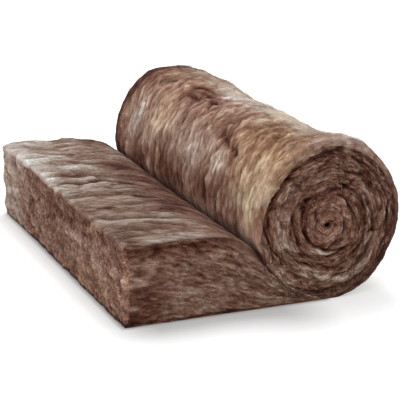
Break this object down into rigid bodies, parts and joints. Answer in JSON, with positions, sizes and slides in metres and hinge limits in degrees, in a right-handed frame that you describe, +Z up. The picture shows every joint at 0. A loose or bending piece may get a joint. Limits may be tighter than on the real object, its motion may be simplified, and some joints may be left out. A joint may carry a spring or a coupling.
{
  "type": "mineral wool insulation roll",
  "caption": "Loft insulation blanket of brown glass wool, partly rolled out: a free stretch at full thickness that runs under a tightly wound roll.",
  "frame": {"origin": "on the floor, at the middle of the box round the whole object", "axes": "+X along the blanket from its cut end to the roll, +Y across the blanket's width along the roll's axis, +Z up"},
  "size_m": [0.8128, 1.14, 0.4473],
  "materials": {
    "glass_wool": "matted fibre, fully matte, streaked brown and tan"
  },
  "bodies": {
    "root": {"wool_blanket": "glass_wool"}
  },
  "joints": []
}
